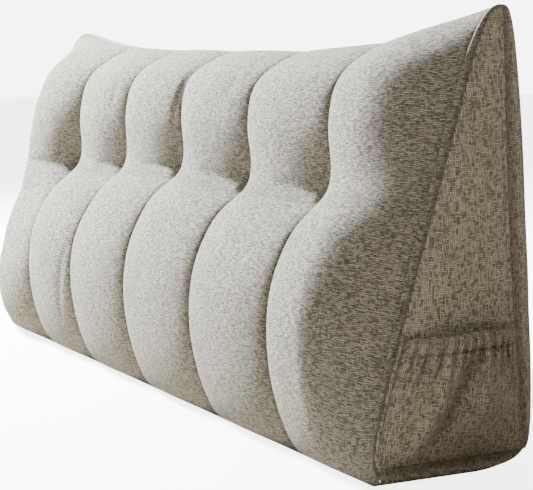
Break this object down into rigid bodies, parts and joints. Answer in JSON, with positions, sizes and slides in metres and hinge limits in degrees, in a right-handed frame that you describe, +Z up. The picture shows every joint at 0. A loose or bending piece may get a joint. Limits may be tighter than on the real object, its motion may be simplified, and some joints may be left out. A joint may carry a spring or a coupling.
{
  "type": "backrest pillow",
  "caption": "Long wedge-shaped backrest pillow in linen-look cloth, its front drawn in by covered buttons into plump channels, with a gathered pocket on one end.",
  "frame": {"origin": "on the floor under the pillow, midway along its length and midway between the two seams along its foot", "axes": "+X along the length towards the end with the pocket, +Y from the channelled front to the back, +Z up"},
  "size_m": [1.2408, 0.2644, 0.5],
  "materials": {
    "body_cloth": "matt, slubby crosshatch weave, grey-beige",
    "pocket_cloth": "matt, slubby crosshatch weave, gathered under a rolled hem",
    "button_cloth": "matt, drawn tight over a domed button"
  },
  "bodies": {
    "root": {"cushion": "body_cloth", "pocket": "pocket_cloth", "button_1": "button_cloth", "button_2": "button_cloth", "button_3": "button_cloth", "button_4": "button_cloth", "button_5": "button_cloth"}
  },
  "joints": []
}
